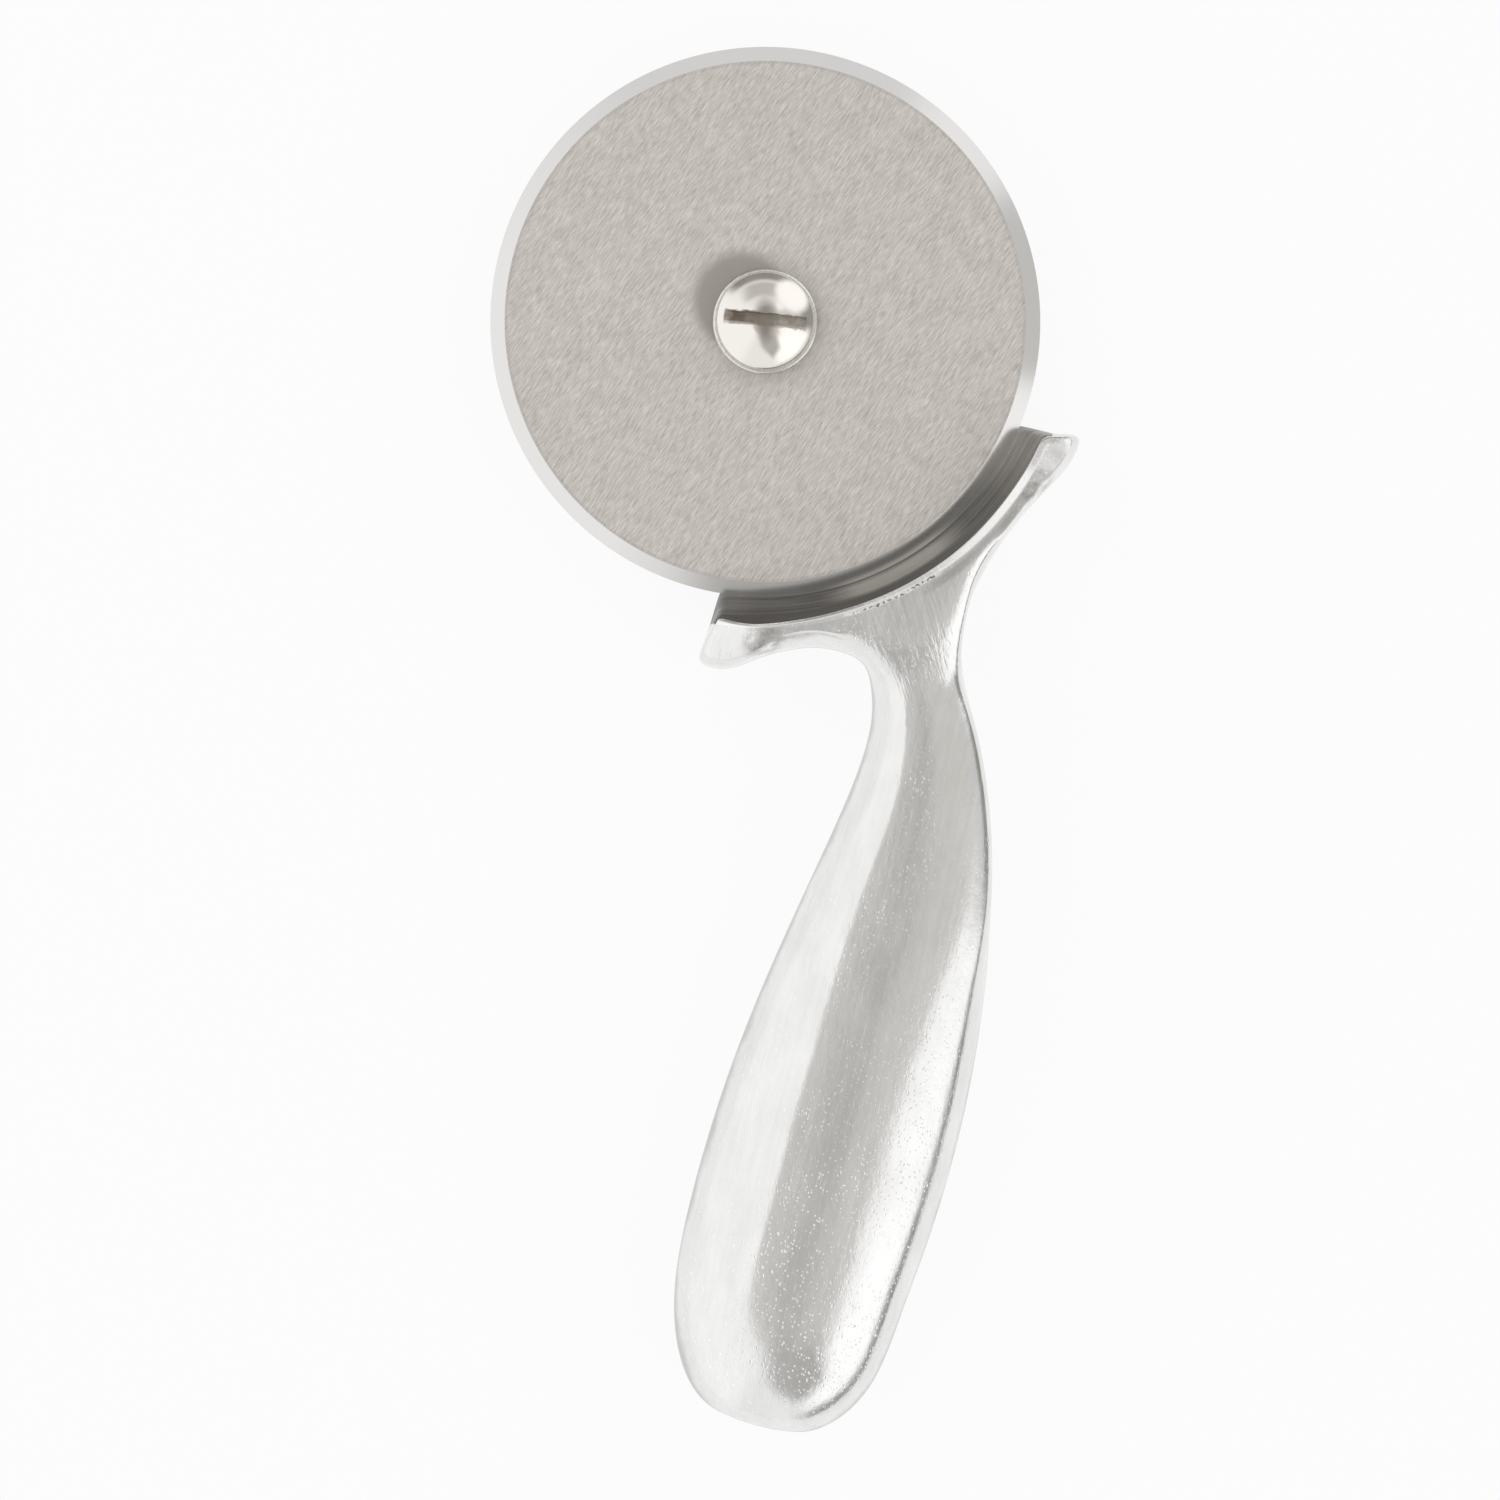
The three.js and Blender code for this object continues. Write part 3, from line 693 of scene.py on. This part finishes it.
# The rim's band is burnished bright, apart from the file mark.
burnished = combine(
    tree, "MULTIPLY", ease(tree, from_axle, 56.9 * mm, 56.6 * mm), ease(tree, z, 9 * mm, 10 * mm)
)
burnished = combine(tree, "SUBTRACT", burnished, filed)
uneven = add_shares(tree, combine(tree, "MULTIPLY", cloudy, 0.7), [(belt_streaks, 0.3)])
polished = blend_colour(tree, (0.765, 0.76, 0.75), (0.875, 0.875, 0.87), uneven)
# The pits are painted lighter, as painted glints
polished = blend_colour(tree, polished, (0.97, 0.97, 0.965), combine(tree, "MULTIPLY", pits_and_glints, 0.8))
# Dull marks darken the polish, together with painted shade along the outline and beside the rim band
polished = blend_colour(tree, polished, (0.22, 0.21, 0.2), dulled_and_shaded)
polished = blend_colour(tree, polished, (0.93, 0.93, 0.925), burnished)
tree.links.new(blend_colour(tree, polished, skin_and_shade_colour, skin), surface.inputs["Base Color"])
rough = add_shares(
    tree,
    worn,
    [(scratches, 0.1), (belt_streaks, 0.05), (parting_band_and_shade, 0.15), (skin, 0.25), (sanding, 0.1)],
)
tree.links.new(rough, surface.inputs["Roughness"])
hollows = add_shares(tree, filed, [(pits_and_glints, 0.3), (sanding, 0.3), (scratches, 0.1), (belt_streaks, 0.03)])
relief = combine(tree, "SUBTRACT", combine(tree, "ADD", ripple, swell), hollows)
emboss(tree, surface, relief, 0.1 * mm)
handle.data.materials.append(aluminium)
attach(handle, "handle")
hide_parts("handle_casting")

# The thrust washer: a nylon ring between the boss and the wheel, so that steel doesn't run on the casting.
# It is stamped from sheet, and sits around the sleeve.


def ring_piece(name, inner, outside, bottom, top, edge):
    """A flat ring around the axle with its edges broken."""
    piece = upright_solid(name, 96, outside, bottom, top)
    bore(outside - inner)
    pick("EDGE", lambda e: e.calc_face_angle(0) > math.radians(60))
    bpy.ops.mesh.bevel(offset=edge, segments=3)
    face_outwards()
    bpy.ops.object.shade_smooth_by_angle(angle=math.radians(35))
    return piece


sleeve_radius = 5.05 * mm
washer_bore = 5.15 * mm
thrust_washer = ring_piece(
    "nylon_thrust_washer", washer_bore, 10.5 * mm, boss_top, boss_top + 1.0 * mm, 0.25 * mm
)
nylon, tree, surface, place = piece_material("natural_nylon", 0.0)
stain = clouds(tree, place, 300, 0.0, 0.6)
tree.links.new(blend_colour(tree, (0.86, 0.83, 0.76), (0.6, 0.56, 0.48), stain), surface.inputs["Base Color"])
surface.inputs["Roughness"].default_value = 0.5
thrust_washer.data.materials.append(nylon)
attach(thrust_washer, "handle")
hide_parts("thrust_washer")

# The axle sleeve: a short bronze bush around the screw, a little longer than the wheel is thick, so that the
# screw can be drawn tight while the wheel still turns.
head_washer_bottom = axle.z + 0.9 * mm
sleeve = ring_piece("bronze_sleeve", screw_hole, sleeve_radius, boss_top, head_washer_bottom, 0.25 * mm)
bronze, tree, surface, place = piece_material("turned_bronze", 1.0)
# The bronze is tarnished in patches
darker_tone = clouds(tree, place, 400, 0.0, 1.0)
tree.links.new(
    blend_colour(tree, (0.72, 0.53, 0.3), (0.45, 0.31, 0.17), darker_tone), surface.inputs["Base Color"]
)
surface.inputs["Roughness"].default_value = 0.35
sleeve.data.materials.append(bronze)
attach(sleeve, "handle")
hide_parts("axle_sleeve")

# The cutting wheel: a stainless steel disc, brushed straight across both faces and then ground to an edge all
# round. It turns on the sleeve.
wheel_radius = 50.8 * mm
face_radius = 48.05 * mm
half_wheel = 0.75 * mm
half_land = 0.01 * mm
wheel = upright_solid("blade", 256, wheel_radius, axle.z - half_land, axle.z + half_land)
for side in (1, -1):
    pick("FACE", lambda f: len(f.verts) > 8 and (f.calc_center_median().z - axle.z) * side > 0)
    bpy.ops.mesh.extrude_region_move()
    shift(z=side * (half_wheel - half_land))
    stretch((face_radius / wheel_radius, face_radius / wheel_radius, 1), axle)
bore(face_radius - washer_bore)
face_outwards()
bpy.ops.object.shade_smooth_by_angle(angle=math.radians(8))

steel, tree, surface, place = piece_material("brushed_stainless", 1.0)
from_axle = distance_from(tree, place, axle, (1, 1, 0))
on_bevel = ease(tree, from_axle, face_radius, face_radius + 0.1 * mm)
strokes = [
    streaks(tree, place, turned, across, along, 0.3, 0.7)
    for turned, across, along in [(33, 5200, 380), (39, 4300, 460), (36, 8000, 600)]
]
brushing = add_shares(
    tree, clouds(tree, place, 220, -0.07, 0.07), [(combine(tree, "ADD", *strokes), 0.333)]
)
# Painted shade darkens the steel around the screw's head as the head's shadow, most of all at the far left,
# and a fine painted shade line is drawn where the bevel's grinding starts.
painted_head_shadow = spot(tree, place, axle + Vector((-4.2, 3.8, 0)) * mm, (1, 1, 0), 10.7 * mm, 7.4 * mm)
painted_shade_halo = combine(tree, "MULTIPLY", ease(tree, from_axle, 14.5 * mm, 9.8 * mm), 0.3)
painted_bevel_shade_line = ease(tree, off(tree, from_axle, face_radius - 0.2 * mm), 0.45 * mm, 0.1 * mm)
painted_wheel_shade = combine(tree, "MAXIMUM", painted_head_shadow, painted_shade_halo, combine(tree, "MULTIPLY", painted_bevel_shade_line, 0.25))
face_colour = blend_colour(tree, (0.49, 0.46, 0.43), (0.91, 0.876, 0.837), brushing)
face_colour = blend_colour(tree, face_colour, (0.44, 0.41, 0.385), painted_wheel_shade)
tree.links.new(blend_colour(tree, face_colour, (0.75, 0.74, 0.725), on_bevel), surface.inputs["Base Color"])
rough = add_shares(tree, clouds(tree, place, 30, 0.44, 0.5), [(on_bevel, -0.36)])
tree.links.new(rough, surface.inputs["Roughness"])
face_brushing = combine(tree, "MULTIPLY", brushing, combine(tree, "SUBTRACT", on_bevel, 1.0))
emboss(tree, surface, face_brushing, 0.03 * mm)
wheel.data.materials.append(steel)
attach(wheel, "wheel")
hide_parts("cutting_wheel")

# The head washer: a thin plated steel ring between the screw's head and the wheel. A narrow bright band of it
# shows around the head.
head_bottom = axle.z + 1.9 * mm
head_washer = ring_piece(
    "plated_head_washer", screw_hole, 9.75 * mm, head_washer_bottom, head_bottom, 0.45 * mm
)
zinc, tree, surface, place = piece_material("bright_zinc_plate", 1.0)
tree.links.new(clouds(tree, place, 500, 0.15, 0.32), surface.inputs["Roughness"])
rubs = streaks(tree, place, 34.377, 5000, 500, 0.4, 0.7)
tree.links.new(blend_colour(tree, (0.8, 0.79, 0.76), (0.62, 0.61, 0.58), rubs), surface.inputs["Base Color"])
head_washer.data.materials.append(zinc)
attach(head_washer, "handle")
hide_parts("head_washer")

# The axle screw: turned steel, nickel plated and polished, with a high round head. A cut slot runs across the
# head, dark and rough inside. The shank goes through the sleeve and boss to the nut.
head_radius = 9 * mm
head_lip = 2.6 * mm
dome_height = 3.4 * mm
slot_width = 2.3 * mm
slot_depth = 2.2 * mm
slot_turn = math.radians(-5)
shank_radius = 3 * mm
taper_length = 0.7 * mm
taper_share = 0.77
screw_end = axle.z - 12.8 * mm
dome_bottom = Vector((axle.x, axle.y, head_bottom + head_lip))
dome_ball = (head_radius**2 + dome_height**2) / (2 * dome_height)
ball_centre = dome_bottom + Vector((0, 0, dome_height - dome_ball))
bpy.ops.object.select_all(action="DESELECT")
bpy.ops.mesh.primitive_uv_sphere_add(segments=96, ring_count=90, radius=dome_ball, location=ball_centre)
screw = bpy.context.active_object
screw.name = "slotted_screw"
bpy.ops.object.transform_apply(location=True, rotation=True, scale=True)
bpy.ops.object.mode_set(mode="EDIT")
bpy.ops.mesh.select_all(action="SELECT")
bpy.ops.mesh.bisect(plane_co=dome_bottom, plane_no=(0, 0, 1), clear_inner=True, threshold=0.01 * mm)
pick("EDGE", lambda e: e.is_boundary)
bpy.ops.mesh.extrude_edges_move()
shift(z=-head_lip)
bpy.ops.mesh.extrude_edges_move()
stretch((shank_radius / head_radius, shank_radius / head_radius, 1), dome_bottom)
bpy.ops.mesh.extrude_edges_move()
shift(z=screw_end + taper_length - head_bottom)
bpy.ops.mesh.extrude_edges_move()
shift(z=-taper_length)
stretch((taper_share, taper_share, 1), axle)
bpy.ops.mesh.edge_face_add()
bpy.ops.mesh.select_all(action="SELECT")
bpy.ops.mesh.normals_make_consistent(inside=False)
pick("EDGE", lambda e: e.calc_face_angle(0) > math.radians(35))
bpy.ops.mesh.bevel(offset=0.14 * mm, segments=2)
bpy.ops.object.mode_set(mode="OBJECT")
# The slot is cut by a saw with ragged sides. Slivers where it crosses the dome's rings are merged away.
dome_top = head_bottom + head_lip + dome_height
slot_floor = dome_top - slot_depth
bpy.ops.object.select_all(action="DESELECT")
bpy.ops.mesh.primitive_cube_add(
    size=1,
    location=(axle.x, axle.y, dome_top),
    rotation=(0, 0, slot_turn),
    scale=(4 * head_radius, slot_width, 2 * slot_depth),
)
saw = bpy.context.active_object
bpy.ops.object.transform_apply(location=True, rotation=True, scale=True)
bpy.ops.object.mode_set(mode="EDIT")
pick("EDGE", lambda e: e.calc_length() > 3 * head_radius)
bpy.ops.mesh.subdivide(number_cuts=24)
bpy.ops.mesh.select_all(action="SELECT")
bpy.ops.transform.vertex_random(offset=0.28 * mm, seed=4)
bpy.ops.object.mode_set(mode="OBJECT")
merge_solid(screw, saw, "DIFFERENCE")
bpy.ops.object.mode_set(mode="EDIT")
bpy.ops.mesh.select_all(action="SELECT")
bpy.ops.mesh.remove_doubles(threshold=0.03 * mm)
bpy.ops.object.mode_set(mode="OBJECT")
bpy.ops.object.shade_smooth_by_angle(angle=math.radians(30))

# A dark reflection is painted in the middle of the head, and grime fills the slot. The grime is thinned as a
# painted highlight along the slot's lit near edge, and as a painted reflection in its middle.
nickel, tree, surface, place = piece_material("polished_nickel_plate", 1.0)
x, y, z = split_axes(
    tree, mapped(tree, place, "TEXTURE", {"Location": axle, "Rotation": (0, 0, slot_turn)})
)
worn_edge = clouds(tree, place, 450, -0.45 * mm, 0.3 * mm)
sideways = combine(tree, "ADD", off(tree, y, 0.0), worn_edge)
floor_height = slot_floor - axle.z
grime = combine(
    tree,
    "MULTIPLY",
    ease(tree, sideways, slot_width / 2 + 0.15 * mm, slot_width / 2 - 0.1 * mm, "LINEAR"),
    ease(tree, z, floor_height - 0.3 * mm, floor_height - 0.1 * mm, "LINEAR"),
    clouds(tree, place, 240, 0.35, 1.15),
)
# Painted highlight on the slot's lit near edge and painted reflection in its middle
painted_lit_edge = combine(tree, "MULTIPLY", ease(tree, y, -0.55 * mm, -0.85 * mm), 0.5)
painted_slot_reflection = combine(
    tree, "MULTIPLY", ease(tree, x, -3.4 * mm, -0.6 * mm), ease(tree, x, 3.0 * mm, 0.6 * mm), 0.35
)
painted_slot_highlights = combine(tree, "MULTIPLY", grime, combine(tree, "MAXIMUM", painted_lit_edge, painted_slot_reflection))
grime = combine(tree, "SUBTRACT", grime, painted_slot_highlights)
# A painted dark reflection in the middle of the head
darker_tone = spot(tree, place, axle, (1, 0.5, 0), 2.7 * mm, 1.0 * mm)
plate_colour = blend_colour(tree, (0.86, 0.83, 0.78), (0.46, 0.43, 0.39), darker_tone)
tree.links.new(blend_colour(tree, plate_colour, (0.22, 0.18, 0.14), grime), surface.inputs["Base Color"])
rough = add_shares(tree, clouds(tree, place, 350, 0.08, 0.18), [(grime, 0.4)])
tree.links.new(rough, surface.inputs["Roughness"])
screw.data.materials.append(nickel)
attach(screw, "handle")
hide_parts("axle_screw")

# The lock washer: a ring of square spring steel, cut through at a slant, that keeps the nut from working
# loose.
washer_width = 2 * mm
lock_washer_bottom = boss_bottom - 1.2 * mm
lock_washer = ring_piece(
    "split_lock_washer", screw_hole, screw_hole + washer_width, lock_washer_bottom, boss_bottom, 0.2 * mm
)
bpy.ops.object.select_all(action="DESELECT")
bpy.ops.mesh.primitive_cube_add(
    size=1,
    location=(axle.x + screw_hole + washer_width / 2, axle.y, (lock_washer_bottom + boss_bottom) / 2),
    rotation=(math.radians(35), 0, 0),
    scale=(5 * mm, 0.8 * mm, 5 * mm),
)
merge_solid(lock_washer, bpy.context.active_object, "DIFFERENCE")
lock_washer.data.materials.append(zinc)
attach(lock_washer, "handle")
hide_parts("lock_washer")

# The lock nut: a thin hexagon nut on the screw's end, with its corners turned off on the outside.
nut_flat = 5 * mm
nut_corner = nut_flat / math.cos(math.pi / 6)
nut = upright_solid("hexagon_nut", 6, nut_corner, screw_end, lock_washer_bottom)
face_outwards()
turned_radius = nut_flat * 0.97
cone_height = 6 * mm
bpy.ops.object.select_all(action="DESELECT")
bpy.ops.mesh.primitive_cone_add(
    vertices=96,
    radius1=turned_radius,
    radius2=turned_radius + cone_height,
    depth=cone_height,
    location=(axle.x, axle.y, screw_end + cone_height / 2),
)
merge_solid(nut, bpy.context.active_object, "INTERSECT")
bpy.ops.mesh.primitive_cylinder_add(
    vertices=96, radius=screw_hole, depth=20 * mm, location=(axle.x, axle.y, screw_end)
)
merge_solid(nut, bpy.context.active_object, "DIFFERENCE")
eased = nut.modifiers.new("eased", "BEVEL")
eased.width = 0.15 * mm
eased.segments = 2
eased.limit_method = "ANGLE"
eased.angle_limit = math.radians(25)
bpy.ops.object.modifier_apply(modifier=eased.name)
bpy.ops.object.shade_smooth_by_angle(angle=math.radians(30))
nut.data.materials.append(zinc)
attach(nut, "handle")
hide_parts("lock_nut")

# The studio: a white table top in a pale tent that is open to a grey ceiling. The camera looks straight down.
bpy.ops.object.select_all(action="DESELECT")
bpy.ops.mesh.primitive_circle_add(vertices=96, radius=3, fill_type="NGON", location=(0, 0, 0))
table_top = bpy.context.active_object
table_top.name = "table_top"
table_paint = bpy.data.materials.new("white_table_paint")
table_paint.use_nodes = True
tree = table_paint.node_tree
paint = tree.nodes["Principled BSDF"]
paint.inputs["Base Color"].default_value = (0.9, 0.9, 0.9, 1)
paint.inputs["Roughness"].default_value = 0.7
# Seen by the camera or in a reflection, the table is nearly as white as a lit backdrop, and takes only a
# faint shadow.
glow = add_node(tree, "ShaderNodeEmission", None, {"Color": (1, 1, 1, 1), "Strength": 1.0})
path = add_node(tree, "ShaderNodeLightPath").outputs
seen = combine(
    tree, "MAXIMUM", path["Is Camera Ray"], path["Is Glossy Ray"], path["Is Transmission Ray"]
)
both = add_node(tree, "ShaderNodeMixShader")
tree.links.new(combine(tree, "MULTIPLY", seen, 0.9), both.inputs["Fac"])
tree.links.new(paint.outputs["BSDF"], both.inputs[1])
tree.links.new(glow.outputs["Emission"], both.inputs[2])
tree.links.new(both.outputs["Shader"], tree.nodes["Material Output"].inputs["Surface"])
table_top.data.materials.append(table_paint)

tent = bpy.data.worlds.new("light_tent")
bpy.context.scene.world = tent
tent.use_nodes = True
tree = tent.node_tree
direction = add_node(tree, "ShaderNodeTexCoord").outputs["Generated"]
x, y, z = split_axes(tree, direction)
around = combine(tree, "MULTIPLY", combine(tree, "ARCTAN2", y, x), 1 / (2 * math.pi))
around = combine(tree, "ADD", around, 0.5)
# Brightness of the tent's wall going around it from the left: near side, right, far side and left again. The
# wall is brightest at the near right, where a lamp shines through it.
wall = add_node(tree, "ShaderNodeValToRGB")
tree.links.new(around, wall.inputs["Fac"])
for position, grey in [
    (0.14, 1.05),
    (0.18, 0.93),
    (0.28, 0.93),
    (0.32, 1.25),
    (0.455, 1.25),
    (0.485, 0.68),
    (0.6, 0.66),
    (0.66, 0.84),
    (0.82, 0.84),
    (0.88, 0.97),
    (0.94, 1.05),
]:
    stop = wall.color_ramp.elements.new(position)
    stop.color = (grey, grey, grey, 1)
wall.color_ramp.elements[0].color = (1.05, 1.05, 1.05, 1)
wall.color_ramp.elements[-1].color = (1.05, 1.05, 1.05, 1)


def towards(lean, swing):
    """A direction that leans from overhead, towards a bearing, in degrees."""
    lean, swing = math.radians(lean), math.radians(swing)
    return Vector((math.sin(lean) * math.cos(swing), math.sin(lean) * math.sin(swing), math.cos(lean)))


def dot_with(vector):
    """How far a direction points along a vector."""
    node = add_node(tree, "ShaderNodeVectorMath", {"operation": "DOT_PRODUCT"}, {1: vector})
    tree.links.new(direction, node.inputs[0])
    return node.outputs["Value"]


def patch(centre, outside, inside):
    """A round patch of the tent, soft from its outside to its inside radius in degrees."""
    edge, core = math.cos(math.radians(outside)), math.cos(math.radians(inside))
    return ease(tree, dot_with(centre), edge, core)


# A dark gap low at the far side, and a dark hem on the right that rises towards the far side
gap = combine(tree, "MULTIPLY", ease(tree, z, 0.4, 0.28), ease(tree, y, 0.55, 0.8))
light = blend_colour(tree, wall.outputs["Color"], (0.3, 0.29, 0.27), gap)
hem = combine(tree, "MULTIPLY", ease(tree, z, 0.36, 0.12), ease(tree, x, 0.1, 0.4))
upper_hem = combine(
    tree, "MULTIPLY", ease(tree, z, 0.64, 0.44), ease(tree, x, 0.5, 0.7), ease(tree, y, -0.2, -0.03)
)
light = blend_colour(tree, light, (0.33, 0.325, 0.31), combine(tree, "MAXIMUM", hem, upper_hem))
# The opening overhead has a crisp edge on the left and fades out on the right.
opening_centre = towards(5.5, 0)
opening = add_node(tree, "ShaderNodeMix", {"data_type": "FLOAT"})
tree.links.new(ease(tree, x, 0.0, 0.2), opening.inputs["Factor"])
tree.links.new(patch(opening_centre, 27, 24.5), opening.inputs["A"])
tree.links.new(patch(opening_centre, 31, 20), opening.inputs["B"])
light = blend_colour(tree, light, (0.675, 0.656, 0.632), opening.outputs["Result"])
# A grey band crosses the far side, and lamps shine through the tent at the far right and on the right.
far_band = combine(
    tree,
    "MULTIPLY",
    ease(tree, z, 0.78, 0.7),
    ease(tree, z, 0.36, 0.48),
    ease(tree, y, 0.35, 0.58),
    ease(tree, x, -0.66, -0.3),
)
light = blend_colour(tree, light, (0.56, 0.55, 0.535), far_band)
light = blend_colour(tree, light, (1.15, 1.15, 1.15), patch(towards(62, 45), 30, 18))
light = blend_colour(tree, light, (1.05, 1.05, 1.05), patch(towards(34, 46), 9, 4))
light = blend_colour(tree, light, (1.15, 1.15, 1.15), patch(towards(31.5, -21), 9.5, 6))
# A grey strip runs down the near side and narrows towards the table, and the camera's boom crosses the
# opening.
off_strip = add_shares(tree, off(tree, dot_with((1, 0.21, 0)), 0.0), [(ease(tree, y, -0.6, -1.0), 0.34)])
strip = combine(tree, "MULTIPLY", ease(tree, off_strip, 0.31, 0.16), ease(tree, y, -0.28, -0.42))
light = blend_colour(tree, light, (0.48, 0.475, 0.46), strip)
boom = spot(tree, direction, (0, -0.08, 0), (9, 2.2, 0), 1.2, 0.7)
boom = combine(tree, "MULTIPLY", boom, ease(tree, z, 0.0, 0.2))
light = blend_colour(tree, light, (0.52, 0.51, 0.5), boom)
tree.links.new(light, tree.nodes["Background"].inputs["Color"])

# The picture is 1500 dots wide where the wheel's radius is 275 dots.
camera_height = 1.287
view_width = wheel_radius * 1500 / 275
camera_data = bpy.data.cameras.new("camera")
camera = bpy.data.objects.new("camera", camera_data)
bpy.context.collection.objects.link(camera)
camera.location = axle + Vector((-2.83 * mm, -79.1 * mm, camera_height))
camera_data.sensor_width = 36
camera_data.lens = camera_data.sensor_width * camera_height / view_width
bpy.context.scene.camera = camera
bpy.context.scene.view_settings.view_transform = "Standard"
